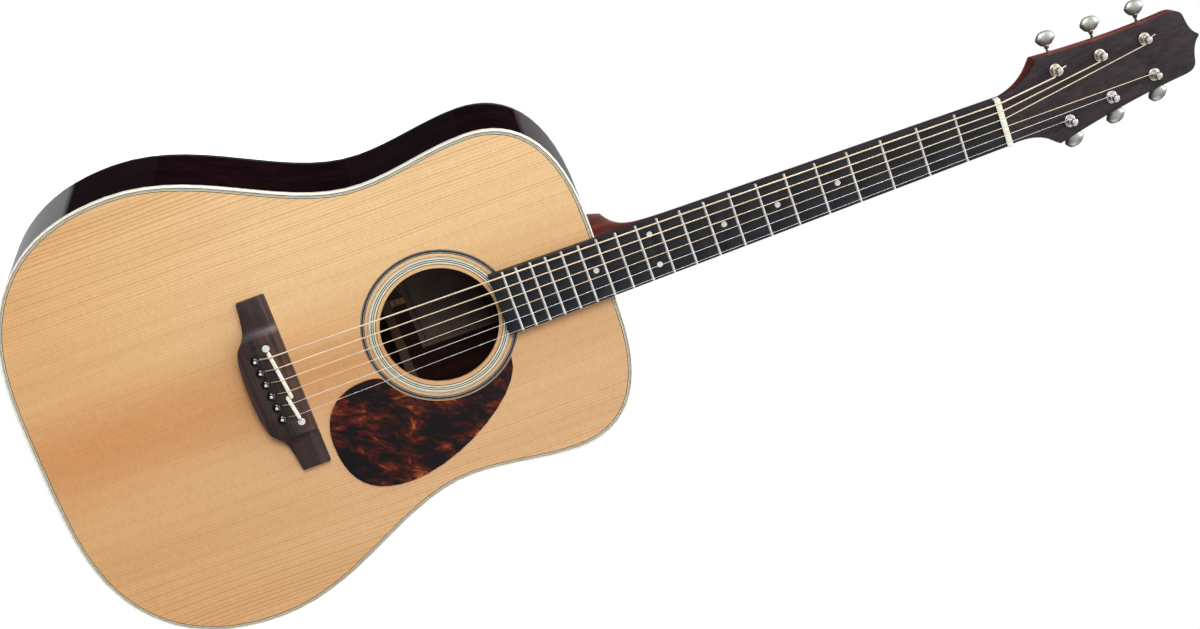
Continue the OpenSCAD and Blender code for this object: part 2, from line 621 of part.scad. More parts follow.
module key_a() key(1);
module key_d() key(2);
module key_g() key(3);
module key_b() key(4);
module key_high_e() key(5);

// Gear whose teeth stand clear of the worm's thread by 0.3 mm a side
module gear_2d() {
    circle(r = gear_r - 0.75);
    for (t = [0:teeth - 1]) rotate(90 + 360 * t / teeth)
        polygon([[0, -0.5], [gear_r - 0.7, -0.44], [gear_r + 0.35, -0.2], [gear_r + 0.35, 0.2],
            [gear_r - 0.7, 0.44], [0, 0.5]]);
}
// Side of three turns of string lying against the post, from the lowest turn up
function coil_side(r) = [for (k = [2:-1:0]) for (a = [-75:30:75])
    [post_r + r + r * cos(a), coil_w - 2 * r * k + r * sin(a)]];
post_foot = -head_t - plate_t - 0.2;
module post(i) color("silver") upright() on_head() at_post(i) {
    r = STRINGS[i][0];
    difference() {
        rotate_extrude($fn = 32) polygon(concat(
            [[0, post_foot], [post_r, post_foot], [post_r, coil_w - 5 * r]],
            coil_side(r),
            [[post_r, coil_w + r], [post_r, post_top - 0.5], [post_r - 0.5, post_top], [0, post_top]]));
        translate([0, 0, coil_w + 2.1]) rotate([0, 90, 0]) cylinder(r = 0.9, h = 20, center = true, $fn = 16);
    }
    translate([0, 0, worm_z - gear_t / 2]) linear_extrude(gear_t) gear_2d();
    translate([0, 0, worm_z + gear_t / 2]) cylinder(r = 2.4, h = post_foot - worm_z - gear_t / 2, $fn = 32);
    translate([0, 0, worm_z - gear_t / 2 - 1.2]) cylinder(r = 2.4, h = 1.2, $fn = 32);
}
module post_low_e() post(0);
module post_a() post(1);
module post_d() post(2);
module post_g() post(3);
module post_b() post(4);
module post_high_e() post(5);

// ---------- strap pin ----------
module strap_pin() color("black") upright() translate([0, 0, -tail_depth / 2]) rotate([90, 0, 0])
    rotate_extrude() polygon([[0, -20], [2.5, -20], [2.5, 0], [6, 0], [6, 1], [4.4, 2], [3.6, 3.5],
        [3.6, 5.5], [6.5, 7.2], [6.5, 10.8], [5, 11.6], [0, 12]]);

soundboard();
back_bass();
back_treble();
back_strip();
side_bass();
side_treble();
tail_wedge();
binding_top();
binding_back();
purfling_top();
lining_top();
lining_back();
neck_block();
tail_block();
x_brace_bass();
x_brace_treble();
transverse_brace();
tone_bars();
finger_braces();
soundhole_braces();
bridge_plate();
back_braces();
centre_cleats();
label();
rosette_inner();
rosette_outer();
pickguard();
bridge();
bridge_dots();
saddle_bass();
saddle_treble();
bridge_pins();
neck();
heel_cap();
fretboard();
frets();
fret_markers();
nut();
truss_rod();
truss_nut();
headplate();
wound_strings();
plain_strings();
tuner_plates();
tuner_bushings();
tuner_screws();
strap_pin();
key_low_e();
key_a();
key_d();
key_g();
key_b();
key_high_e();
post_low_e();
post_a();
post_d();
post_g();
post_b();
post_high_e();
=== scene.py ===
"""Looks for a steel-string acoustic guitar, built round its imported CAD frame.

Everything is in metres in the row frame: the neck along +Z, the soundboard facing -Y,
the treble side at +X and the origin at the centre of the strap pin's knob.
"""

import math

import bmesh
import bpy
from mathutils import Matrix, Vector


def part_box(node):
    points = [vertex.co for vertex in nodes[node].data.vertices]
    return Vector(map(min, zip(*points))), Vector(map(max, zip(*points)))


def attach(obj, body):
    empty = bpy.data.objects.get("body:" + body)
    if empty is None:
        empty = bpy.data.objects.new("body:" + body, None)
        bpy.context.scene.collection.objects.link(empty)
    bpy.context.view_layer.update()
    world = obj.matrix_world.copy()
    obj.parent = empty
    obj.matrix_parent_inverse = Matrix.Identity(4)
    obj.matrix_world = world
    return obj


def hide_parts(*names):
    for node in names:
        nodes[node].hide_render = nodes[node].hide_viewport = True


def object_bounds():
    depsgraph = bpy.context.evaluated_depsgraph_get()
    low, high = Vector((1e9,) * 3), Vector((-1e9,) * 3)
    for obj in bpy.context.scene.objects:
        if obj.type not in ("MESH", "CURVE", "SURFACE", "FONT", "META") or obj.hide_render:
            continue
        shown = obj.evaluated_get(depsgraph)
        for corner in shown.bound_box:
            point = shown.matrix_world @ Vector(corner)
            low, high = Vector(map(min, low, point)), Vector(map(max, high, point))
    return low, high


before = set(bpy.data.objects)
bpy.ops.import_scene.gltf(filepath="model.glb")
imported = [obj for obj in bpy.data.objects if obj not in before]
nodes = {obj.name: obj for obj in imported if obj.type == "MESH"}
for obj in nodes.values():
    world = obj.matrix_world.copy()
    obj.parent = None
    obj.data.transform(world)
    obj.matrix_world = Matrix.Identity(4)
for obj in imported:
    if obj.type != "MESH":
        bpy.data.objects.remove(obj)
cad_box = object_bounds()
GUITAR = "guitar"

MM_PER_M = 1000

# ---------- the drawing's frames, in millimetres, as in the CAD source ----------
# The drawing lies flat: x to the treble side, y up the neck, z out of the soundboard
TAIL_DEPTH = 122.0
KNOB_Y = -9.0
HOLE_Y = 362.5
SCALE_LENGTH = 644
BODY_TOP_Y = 512
NUT_Y = BODY_TOP_Y + SCALE_LENGTH * (1 - 2 ** (-14 / 12))
HEAD_Y = NUT_Y + 5
HEAD_Z = 4.0
HEAD_TILT = math.radians(13)
HEAD_T = 15.0
HEAD_TAPER = math.radians(5.4)
# The three posts of one side: how far up the headstock and out from its middle
POST_V = (56.4, 99.6, 143.6)
POST_X = (23.6, 19.5, 16.7)
# Name, radius of its string, side of the headstock and place up it
STRINGS = (("low_e", 0.68, -1, 0), ("a", 0.53, -1, 1), ("d", 0.41, -1, 2),
           ("g", 0.31, 1, 2), ("b", 0.2, 1, 1), ("high_e", 0.15, 1, 0))
POST_R = 3.0
COIL_W = 6.4
POST_TOP = 10.5
WORM_Y = 5.8
WORM_Z = -HEAD_T - 3.9
GEAR_R = 4.0
GEAR_T = 2.8
TEETH = 14
WORM_PITCH = 2 * math.pi * GEAR_R / TEETH
BUTTON_X = 24.0

# From the drawing, and from the headstock's face, to the row frame
FLAT = (Matrix.Scale(1 / MM_PER_M, 4) @ Matrix.Translation((0, -TAIL_DEPTH / 2, -KNOB_Y))
        @ Matrix.Rotation(math.radians(90), 4, "X"))
HEAD = FLAT @ Matrix.Translation((0, HEAD_Y, HEAD_Z)) @ Matrix.Rotation(-HEAD_TILT, 4, "X")


def post_matrix(i):
    """From millimetres about post i (x outward, y up the headstock, z forward) to the row frame."""
    _, _, side, place = STRINGS[i]
    m = HEAD @ Matrix.Translation((side * POST_X[place], POST_V[place], 0))
    if side < 0:
        m = m @ Matrix.Scale(-1, 4, (1, 0, 0))
    return m @ Matrix.Rotation(HEAD_TAPER, 4, "Z")


# ---------- materials ----------
def srgb(r, g, b):
    """Linear colour with full alpha of an 8-bit sRGB colour."""
    def lin(c):
        c /= 255
        return c / 12.92 if c <= 0.04045 else ((c + 0.055) / 1.055) ** 2.4

    return (lin(r), lin(g), lin(b), 1)


def scaled(colour, factor):
    """Linear colour of an 8-bit sRGB colour made darker by a factor."""
    return srgb(*[c * factor for c in colour])


# The Mix node's sockets for colours, which share their names with those for numbers and vectors
COLOUR_A, COLOUR_B, COLOUR_OUT = 6, 7, 2


class Mat:
    """A Principled material and short ways to add the nodes that feed it."""

    def __init__(self, name, **values):
        self.mat = bpy.data.materials.new(name)
        self.mat.use_nodes = True
        self.tree = self.mat.node_tree
        self.shader = self.tree.nodes["Principled BSDF"]
        self.set(**values)
        coords = self.node("TexCoord")
        self.mm = self.vec("SCALE", coords.outputs["Object"], scale=MM_PER_M)
        self.x, self.y, self.z = self.node("SeparateXYZ", Vector=self.mm).outputs

    def put(self, socket, value):
        """Links an output to the socket, or sets the socket's own value."""
        if isinstance(value, bpy.types.NodeSocket):
            self.tree.links.new(value, socket)
        else:
            socket.default_value = value

    def set(self, **values):
        """Feeds the shader's inputs; an underscore in a name stands for a space."""
        for key, value in values.items():
            self.put(self.shader.inputs[key.replace("_", " ")], value)

    def node(self, kind, props=None, **inputs):
        """A new shader node of a kind, with its properties and inputs."""
        n = self.tree.nodes.new("ShaderNode" + kind)
        for key, value in (props or {}).items():
            setattr(n, key, value)
        for key, value in inputs.items():
            self.put(n.inputs[key], value)
        return n

    def math(self, operation, a, b=0.0):
        n = self.node("Math", {"operation": operation})
        self.put(n.inputs[0], a)
        self.put(n.inputs[1], b)
        return n.outputs[0]

    def vec(self, operation, a, b=None, scale=None):
        n = self.node("VectorMath", {"operation": operation})
        self.put(n.inputs[0], a)
        if b is not None:
            self.put(n.inputs[1], b)
        if scale is not None:
            n.inputs["Scale"].default_value = scale
        return n.outputs[0]

    def stretch(self, sx, sy, sz, source=None):
        """The position in millimetres times a factor on each axis."""
        return self.vec("MULTIPLY", self.mm if source is None else source, (sx, sy, sz))

    def bent(self, vector, warp, distance):
        """The vector pushed along all its axes by warp times a distance."""
        push = self.node("CombineXYZ", X=warp, Y=warp, Z=warp).outputs[0]
        return self.vec("ADD", vector, self.vec("SCALE", push, scale=distance))

    def noise(self, vector, detail, rough=0.5, distortion=0.0):
        n = self.node("TexNoise", Vector=vector, Scale=1.0, Detail=detail, Roughness=rough,
                      Distortion=distortion)
        return n.outputs["Fac"]

    def ramp(self, fac, stops):
        """A colour ramp; each stop is a position with a colour or a grey level."""
        n = self.node("ValToRGB", Fac=fac)
        elements = n.color_ramp.elements
        while len(elements) < len(stops):
            elements.new(0.5)
        for element, (position, colour) in zip(elements, stops):
            element.position = position
            element.color = colour if isinstance(colour, tuple) else (colour, colour, colour, 1)
        return n.outputs["Color"]

    def mix(self, a, b, fac, blend="MIX"):
        """Colour a where fac is 0, b where it is 1."""
        n = self.node("Mix", {"data_type": "RGBA", "blend_type": blend})
        self.put(n.inputs["Factor"], fac)
        self.put(n.inputs[COLOUR_A], a)
        self.put(n.inputs[COLOUR_B], b)
        return n.outputs[COLOUR_OUT]

    def bump(self, height, distance, strength):
        """Normal from a height of 0 to 1 that stands for a distance in millimetres."""
        n = self.node("Bump", Height=height, Strength=strength, Distance=distance / MM_PER_M)
        self.put(self.shader.inputs["Normal"], n.outputs["Normal"])
        return self

    def mapped(self, value, low, high, new_low, new_high):
        """The value's place between low and high, carried over to new_low to new_high and held there."""
        n = self.node("MapRange", {"clamp": True}, Value=value)
        ends = {"From Min": low, "From Max": high, "To Min": new_low, "To Max": new_high}
        for key, end in ends.items():
            n.inputs[key].default_value = end
        return n.outputs[0]


WHITE = srgb(255, 255, 255)


def spruce_top():
    """Two bookmatched halves: pale on the bass side, browner on the treble and amber along the joint, with
    painted light brightening them toward the neck.
    """
    m = Mat("spruce_top", Coat_Weight=0.5, Coat_Roughness=0.06, IOR=1.45)
    drift = m.noise(m.stretch(0.012, 0, 0.004), detail=2)
    u = m.math("ADD", m.math("ABSOLUTE", m.x), m.math("MULTIPLY", m.math("SUBTRACT", drift, 0.5), 9))
    # Yearly rings: about 1.8 mm apart at the joint and 4 mm at the edge
    rings = m.math("SUBTRACT", m.math("MULTIPLY", u, 0.56),
                   m.math("MULTIPLY", m.math("MULTIPLY", u, u), 0.0008))
    jitter = m.noise(m.stretch(0.09, 0, 0.0008), detail=1)
    rings = m.math("ADD", rings, m.math("MULTIPLY", jitter, 1.6))
    line = m.ramp(m.math("FRACT", rings), [(0, 0.0), (0.45, 0.1), (0.8, 1.0), (0.9, 1.0), (1, 0.0)])
    year = m.node("TexWhiteNoise", {"noise_dimensions": "1D"}, W=m.math("FLOOR", rings))
    depth = m.math("MULTIPLY", line, m.mapped(year.outputs["Value"], 0, 1, 0.3, 0.95))
    # Broad colour of the two halves, darker toward the tail; the brightening toward the neck, strongest on
    # the bass half, is painted light
    up = m.mapped(m.z, 50, 270, 0, 1)
    bass = m.mix(srgb(235, 187, 132), srgb(248, 209, 156), up)
    treble = m.mix(srgb(229, 180, 127), srgb(231, 187, 138), up)
    base = m.mix(bass, treble, m.mapped(m.x, -0.5, 0.5, 0, 1))
    broad = m.noise(m.stretch(0.022, 0, 0.0016), detail=3, rough=0.55)
    shade = m.ramp(broad, [(0.3, srgb(240, 236, 228)), (0.6, WHITE)])
    base = m.mix(base, shade, 0.7, "MULTIPLY")
    # Amber along the joint, then the rings, the fibres and the silk across them
    edge = m.math("ADD", m.math("ABSOLUTE", m.x), m.math("MULTIPLY", m.math("SUBTRACT", broad, 0.5), 50))
    amber = m.math("MULTIPLY", m.mapped(edge, 5, 56, 1, 0), m.mapped(m.z, 60, 330, 0.95, 0.6))
    base = m.mix(base, srgb(218, 157, 102), amber)
    base = m.mix(base, srgb(196, 132, 78), m.math("MULTIPLY", depth, m.mapped(u, 20, 160, 0.45, 0.66)))
    fibre = m.noise(m.stretch(2.2, 0, 0.03), detail=3, rough=0.6)
    shade = m.ramp(fibre, [(0.3, srgb(188, 188, 188)), (0.7, WHITE)])
    base = m.mix(base, shade, 0.22, "MULTIPLY")
    silk = m.noise(m.stretch(0.09, 0, 0.55), detail=4, rough=0.7)
    shade = m.ramp(silk, [(0.35, srgb(206, 196, 188)), (0.65, WHITE)])
    base = m.mix(base, shade, 0.25, "MULTIPLY")
    m.set(Base_Color=base, Roughness=m.mapped(fibre, 0.2, 0.8, 0.3, 0.42))
    height = m.math("ADD", m.math("MULTIPLY", depth, 0.5), m.math("MULTIPLY", fibre, 0.5))
    return m.bump(height, 0.02, 0.6).mat


# How much darker than the wood's darkest colour its pores are, and how deep its surface goes, in mm
PORE_TONE = 0.5
WOOD_DEPTH = 0.03


def wood(name, colours, along, rough=0.4, coat=0.0, coat_rough=0.1, band=0.06, grain=0.9,
         pores=0.45, stretch=0.012, mirror=False, shine=0.5):
    """Streaked hardwood.

    colours go from dark to light and along is the axis that its grain runs along. band and
    grain are how close the streaks and lines lie, stretch is how short they are, pores is how
    strong the pores show, and mirror makes two bookmatched halves.
    """
    m = Mat(name, Coat_Weight=coat, Coat_Roughness=coat_rough, Specular_IOR_Level=shine)
    source = m.mm
    if mirror:
        source = m.node("CombineXYZ", X=m.math("ABSOLUTE", m.x), Y=m.y, Z=m.z).outputs[0]

    def run(vector, across, length):
        factors = [across] * 3
        factors[along] = length
        return m.stretch(*factors, vector)

    warp = m.noise(run(source, 0.02, stretch * 0.5), detail=2)
    bent = m.bent(source, warp, 14)
    bands = m.noise(run(bent, band, stretch * 0.12), detail=3, rough=0.6)
    lines = m.noise(run(bent, grain * 0.35, stretch * 0.25), detail=3, rough=0.65)
    fine = m.noise(run(source, grain * 2.4, stretch * 2), detail=3, rough=0.6)
    tone = m.math("ADD", m.math("MULTIPLY", bands, 0.5),
                  m.math("ADD", m.math("MULTIPLY", lines, 0.34), m.math("MULTIPLY", fine, 0.16)))
    last = len(colours) - 1
    base = m.ramp(tone, [(0.34 + 0.32 * k / last, srgb(*c)) for k, c in enumerate(colours)])
    dots = m.noise(run(source, 2.6, 0.16), detail=1)
    dark = m.mapped(dots, 0.62, 0.7, 0, pores)
    base = m.mix(base, scaled(colours[0], PORE_TONE), dark)
    m.set(Base_Color=base, Roughness=m.mapped(fine, 0.25, 0.75, rough * 0.85, rough * 1.15))
    return m.bump(m.math("SUBTRACT", fine, dark), WOOD_DEPTH, 0.7).mat


def tortoiseshell():
    """Dark patches and amber flames that lean across the pickguard."""
    m = Mat("tortoiseshell", Coat_Weight=0.3, Coat_Roughness=0.05, Roughness=0.3, IOR=1.45)
    turn = m.node("Mapping", Vector=m.mm, Rotation=(0, math.radians(52), 0)).outputs[0]
    warp = m.noise(m.stretch(0.025, 0.025, 0.05, turn), detail=2)
    bent = m.bent(turn, warp, 24)
    patch = m.noise(m.stretch(0.036, 0.036, 0.06, bent), detail=3, rough=0.6)
    flame = m.noise(m.stretch(0.07, 0.07, 0.2, bent), detail=5, rough=0.7, distortion=0.7)
    tone = m.math("ADD", m.math("MULTIPLY", patch, 0.5), m.math("MULTIPLY", flame, 0.5))
    colour = m.ramp(tone, [(0.43, srgb(16, 12, 16)), (0.49, srgb(28, 14, 16)), (0.53, srgb(62, 20, 16)),
                           (0.585, srgb(96, 36, 20)), (0.64, srgb(172, 88, 42)), (0.7, srgb(224, 154, 94))])
    m.set(Base_Color=colour)
    return m.bump(m.noise(m.stretch(0.4, 0.4, 0.4), detail=2), 0.01, 0.3).mat


def ivory(name, colour, rough, coat):
    """Bone or ivory-like plastic, a little yellower in its grain."""
    m = Mat(name, Coat_Weight=coat, Coat_Roughness=0.08, Subsurface_Weight=0.1)
    m.shader.inputs["Subsurface Radius"].default_value = (0.002, 0.0015, 0.001)
    m.shader.inputs["Subsurface Scale"].default_value = 0.5
    grain = m.noise(m.stretch(0.5, 0.5, 0.08), detail=3)
    light = srgb(*colour)
    dark = srgb(*[c * f for c, f in zip(colour, (0.95, 0.92, 0.84))])
    m.set(Base_Color=m.ramp(grain, [(0.3, dark), (0.65, light)]),
          Roughness=m.mapped(grain, 0.3, 0.7, rough * 0.8, rough * 1.2))
    return m.bump(grain, 0.01, 0.3).mat


def metal(name, colour, rough, worn=0.06, brushed=(2.5, 2.5, 2.5), metallic=1.0):
    """Worn metal: worn is how much its roughness drifts, brushed how close its scratches lie."""
    m = Mat(name, Metallic=metallic)
    smear = m.noise(m.stretch(0.25, 0.25, 0.25), detail=3, rough=0.6)
    fine = m.noise(m.stretch(*brushed), detail=2)
    m.set(Base_Color=m.ramp(smear, [(0.35, scaled(colour, 0.86)), (0.65, srgb(*colour))]),
          Roughness=m.math("ADD", m.mapped(smear, 0.3, 0.7, rough - worn / 2, rough + worn / 2),
                           m.mapped(fine, 0.3, 0.7, -0.02, 0.02)))
    return m.bump(fine, 0.004, 0.4).mat


WIRE_PITCH = 0.5


def wound(name, colour):
    """Round-wound string: a wire every half millimetre round the core, with painted shade in the grooves
    between its turns.
    """
    m = Mat(name, Metallic=0.4, Roughness=0.42)
    turn = m.math("ABSOLUTE", m.math("SINE", m.math("MULTIPLY", m.z, math.pi / WIRE_PITCH)))
    age = m.noise(m.stretch(0.1, 0.1, 0.02), detail=2)
    light = m.ramp(age, [(0.35, scaled(colour, 0.88)), (0.65, srgb(*colour))])
    # Painted shade: the grooves between the turns are coloured darker than the wire
    m.set(Base_Color=m.mix(scaled(colour, 0.55), light, m.mapped(turn, 0, 0.5, 0, 1)))
    return m.bump(turn, 0.05, 0.5).mat


def plastic(name, colour, rough, coat):
    """Moulded plastic with faint grime."""
    m = Mat(name, Coat_Weight=coat, Coat_Roughness=0.08)
    grime = m.noise(m.stretch(0.3, 0.3, 0.3), detail=3)
    m.set(Base_Color=m.ramp(grime, [(0.3, scaled(colour, 0.8)), (0.7, srgb(*colour))]),
          Roughness=m.mapped(grime, 0.3, 0.7, rough * 0.8, rough * 1.2))
    return m.bump(m.noise(m.stretch(3, 3, 3), detail=1), 0.005, 0.3).mat


def pearl():
    """Mother-of-pearl, faintly clouded."""
    m = Mat("pearl", Coat_Weight=0.5, Coat_Roughness=0.05, Roughness=0.28)
    cloud = m.noise(m.stretch(0.5, 0.5, 0.5), detail=4, rough=0.6, distortion=1.2)
    m.set(Base_Color=m.ramp(cloud, [(0.35, srgb(196, 199, 196)), (0.5, srgb(222, 224, 220)),
                                    (0.65, srgb(206, 213, 212))]))
    return m.bump(cloud, 0.01, 0.3).mat


# How far in from the label's edge its ruled border lies, in mm
LABEL_MARGIN = 5


def paper():
    """Blank label paper with a border of two ruled lines, coloured dark as painted shade of the body's
    inside.
    """
    m = Mat("label_paper", Roughness=0.85)
    low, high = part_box("label")

    def inward(position, start, end):
        """Millimetres inward from the border, along one axis of the label."""
        middle, half = (start + end) * MM_PER_M / 2, (end - start) * MM_PER_M / 2
        away = m.math("ABSOLUTE", m.math("SUBTRACT", position, middle))
        return m.math("SUBTRACT", half - LABEL_MARGIN, away)

    edge = m.math("ABSOLUTE", m.math("MINIMUM", inward(m.x, low.x, high.x), inward(m.z, low.z, high.z)))
    thick = m.math("LESS_THAN", edge, 0.5)
    thin = m.math("LESS_THAN", m.math("ABSOLUTE", m.math("SUBTRACT", edge, 2)), 0.2)
    rule = m.math("MAXIMUM", thick, thin)
    # Painted shade: the paper's dark brown-greys stand for cream paper in the body's shadow; the noise
    # between them is stains
    stain_in_painted_shade = m.noise(m.stretch(0.04, 0.04, 0.04), detail=4)
    base = m.ramp(stain_in_painted_shade, [(0.3, srgb(104, 86, 80)), (0.7, srgb(120, 102, 95))])
    m.set(Base_Color=m.mix(base, srgb(62, 44, 42), rule))
    return m.bump(m.noise(m.stretch(1.2, 1.2, 1.2), detail=3), 0.03, 0.4).mat


X_AXIS, Z_AXIS = 0, 2
# Three of the CAD's slots have no entry, because their nodes are replaced: the purfling and both rosettes
MATS = {
    "spruce_top": spruce_top(),
    "rosewood_back": wood("rosewood_back", [(20, 8, 10), (38, 17, 17), (58, 29, 24), (82, 44, 33)], Z_AXIS,
                          rough=0.35, coat=0.9, coat_rough=0.04, band=0.03, mirror=True),
    "rosewood_sides": wood("rosewood_sides", [(9, 1, 4), (14, 2, 7), (22, 6, 10), (36, 13, 14)], Z_AXIS,
                           rough=0.6, coat=0.3, coat_rough=0.03, band=0.08, shine=0.0),
    "back_strip": wood("back_strip", [(120, 70, 38), (176, 124, 74), (206, 160, 104)], X_AXIS, rough=0.4,
                       coat=0.8, coat_rough=0.05, band=0.2, stretch=0.08),
    "white_binding": ivory("white_binding", (246, 243, 232), rough=0.28, coat=0.4),
    "dark_binding": plastic("dark_binding", (26, 17, 15), rough=0.25, coat=0.6),
    "line_light": ivory("line_light", (226, 223, 206), rough=0.35, coat=0.4),
    "line_dark": plastic("line_dark", (26, 28, 34), rough=0.35, coat=0.4),
    "line_grey": plastic("line_grey", (150, 152, 146), rough=0.35, coat=0.4),
    # The inner spruce's dark browns are painted shade of the body's inside over paler wood
    "spruce_inner": wood("spruce_inner", [(74, 48, 38), (96, 67, 52), (110, 80, 62)], X_AXIS, rough=0.7,
                         pores=0.1),
    "mahogany_blocks": wood("mahogany_blocks", [(84, 42, 26), (116, 62, 40), (142, 84, 56)], Z_AXIS,
                            rough=0.65),
    "label_paper": paper(),
    "tortoiseshell": tortoiseshell(),
    "bridge_rosewood": wood("bridge_rosewood", [(16, 11, 14), (38, 26, 27), (64, 43, 39), (104, 70, 55)],
                            X_AXIS, rough=0.5, coat=0.1, coat_rough=0.25, band=0.14, grain=1.4),
    "pearl": pearl(),
    "bone": ivory("bone", (240, 240, 232), rough=0.3, coat=0.3),
    "black_plastic": plastic("black_plastic", (14, 14, 16), rough=0.16, coat=0.6),
    "mahogany_neck": wood("mahogany_neck", [(54, 17, 11), (84, 28, 17), (108, 42, 25), (132, 62, 38)], Z_AXIS,
                          rough=0.46, coat=0.12, coat_rough=0.2, band=0.07, grain=1.2, pores=0.6, shine=0.35),
    "fretboard_rosewood": wood("fretboard_rosewood", [(14, 17, 20), (21, 25, 29), (29, 32, 36), (44, 37, 37)],
                               Z_AXIS, rough=0.5, band=0.12, grain=1.2, pores=0.6, shine=0.35),
    "headplate_rosewood": wood("headplate_rosewood", [(24, 17, 20), (36, 29, 32), (47, 38, 41), (62, 48, 47)],
                               Z_AXIS, rough=0.5, coat=0.06, coat_rough=0.2, band=0.3, grain=2.6,
                               stretch=0.004, shine=0.2),
    "fret_wire": metal("fret_wire", (240, 239, 234), 0.25, brushed=(0.2, 3, 3), metallic=0.5),
    "truss_steel": metal("truss_steel", (150, 152, 156), 0.4),
    "truss_brass": metal("truss_brass", (200, 164, 92), 0.35),
    "bronze_strings": wound("bronze_strings", (252, 228, 196)),
    "steel_strings": metal("steel_strings", (255, 255, 254), 0.35, metallic=0.2),
    "nickel": metal("nickel", (214, 213, 208), 0.36),
    "nickel_keys": metal("nickel_keys", (172, 174, 168), 0.42, worn=0.1),
    "nickel_posts": metal("nickel_posts", (216, 216, 212), 0.34),
    "screw_steel": metal("screw_steel", (186, 186, 184), 0.28),
}

# ---------- CAD nodes that stay: smooth shading, softened edges and materials ----------
# Width of the softened edge of each node that has one, in mm
BEVELLED = {"bridge": 0.6, "binding_top": 0.5, "fretboard": 0.25, "nut": 0.5, "saddle_bass": 0.45,
            "saddle_treble": 0.45, "headplate": 0.15, "tuner_plates": 0.2, "heel_cap": 0.3, "truss_nut": 0.2,
            "binding_back": 0.5, "strap_pin": 0.15, "tuner_bushings": 0.12, "neck": 0.25}
# How close corners are joined, in mm
WELD_DISTANCE = 0.005
# Faces closer in angle than the first are merged; edges sharper than the others are bevelled or split
FLAT_ANGLE = math.radians(0.4)
BEVEL_ANGLE = math.radians(38)
PIECE_BEVEL_ANGLE = math.radians(40)
CREASE_ANGLE = math.radians(34)
BEVEL_SEGMENTS = 3


def finish_node(obj):
    """Joins the CAD mesh's split corners, rounds its edges and shades it smooth."""
    mesh = obj.data
    if "custom_normal" in mesh.attributes:
        mesh.attributes.remove(mesh.attributes["custom_normal"])
    mesh.shade_smooth()
    weld = obj.modifiers.new("Weld", "WELD")
    weld.merge_threshold = WELD_DISTANCE / MM_PER_M
    width = BEVELLED.get(obj.name)
    if width:
        flat = obj.modifiers.new("Flat", "DECIMATE")
        flat.decimate_type = "DISSOLVE"
        flat.angle_limit = FLAT_ANGLE
        bevel = obj.modifiers.new("Edges", "BEVEL")
        bevel.width = width / MM_PER_M
        bevel.segments = BEVEL_SEGMENTS
        bevel.limit_method = "ANGLE"
        bevel.angle_limit = BEVEL_ANGLE
        bevel.use_clamp_overlap = True
        bevel.harden_normals = False
    split = obj.modifiers.new("Creases", "EDGE_SPLIT")
    split.split_angle = CREASE_ANGLE


for name, obj in nodes.items():
    slot = obj.data.materials[0].name.split(".")[0]
    material = MATS.get(slot)
    if material:
        obj.data.materials[0] = material
    finish_node(obj)


# ---------- mesh building ----------
def circle(steps):
    """Cosines and sines of a circle's equal steps."""
    return [(math.cos(2 * math.pi * k / steps), math.sin(2 * math.pi * k / steps)) for k in range(steps)]


def lathe(profile, steps, matrix=Matrix()):
    """A closed solid of revolution about z: profile is (radius, z) from one axis point to the other."""
    verts, rings = [], []
    for r, z in profile:
        if r < 1e-9:
            rings.append([len(verts)])
            verts.append((0, 0, z))
        else:
            rings.append(list(range(len(verts), len(verts) + steps)))
            verts += [(r * c, r * s, z) for c, s in circle(steps)]
    faces = []
    for a, b in zip(rings, rings[1:]):
        for k in range(steps):
            quad = [a[k % len(a)], a[(k + 1) % len(a)], b[(k + 1) % len(b)], b[k % len(b)]]
            face = list(dict.fromkeys(quad))
            if len(face) > 2:
                faces.append(face)
    return [matrix @ Vector(v) for v in verts], faces


def loft(rings, caps=True):
    """Skin through rings of equal numbers of points, closed at both ends if it has caps."""
    n = len(rings[0])
    verts = [Vector(p) for ring in rings for p in ring]
    faces = [[k * n + i, k * n + (i + 1) % n, (k + 1) * n + (i + 1) % n, (k + 1) * n + i]
             for k in range(len(rings) - 1) for i in range(n)]
    if caps:
        faces += [list(range(n))[::-1], list(range((len(rings) - 1) * n, len(rings) * n))]
    return verts, faces


TUBE_SIDES = 8


def tube(path, radius):
    """A round wire along a path, rounded off at its ends."""
    pts = [Vector(p) for p in path]
    last = len(pts) - 1
    tangents = [(pts[min(k + 1, last)] - pts[max(k - 1, 0)]).normalized() for k in range(len(pts))]
    normal = tangents[0].orthogonal().normalized()

    def ring(point, tangent, across, scale, shift):
        side = tangent.cross(across)
        return [point + tangent * radius * shift + (across * c + side * s) * radius * scale
                for c, s in circle(TUBE_SIDES)]

    rings = []
    for k, (p, t) in enumerate(zip(pts, tangents)):
        normal = (normal - t * normal.dot(t)).normalized()
        if k == 0:
            rings += [ring(p, t, normal, 0.35, -0.5), ring(p, t, normal, 0.8, -0.3)]
        rings.append(ring(p, t, normal, 1, 0))
        if k == last:
            rings += [ring(p, t, normal, 0.8, 0.3), ring(p, t, normal, 0.35, 0.5)]
    return loft(rings)


def prism(outline, z0, z1):
    """An outline in x and y, drawn out from z0 to z1."""
    return loft([[(x, y, z0) for x, y in outline], [(x, y, z1) for x, y in outline]])


def moved(part, matrix):
    """A part's vertices carried by a matrix, with its faces as they are."""
    verts, faces = part
    return [matrix @ Vector(v) for v in verts], faces


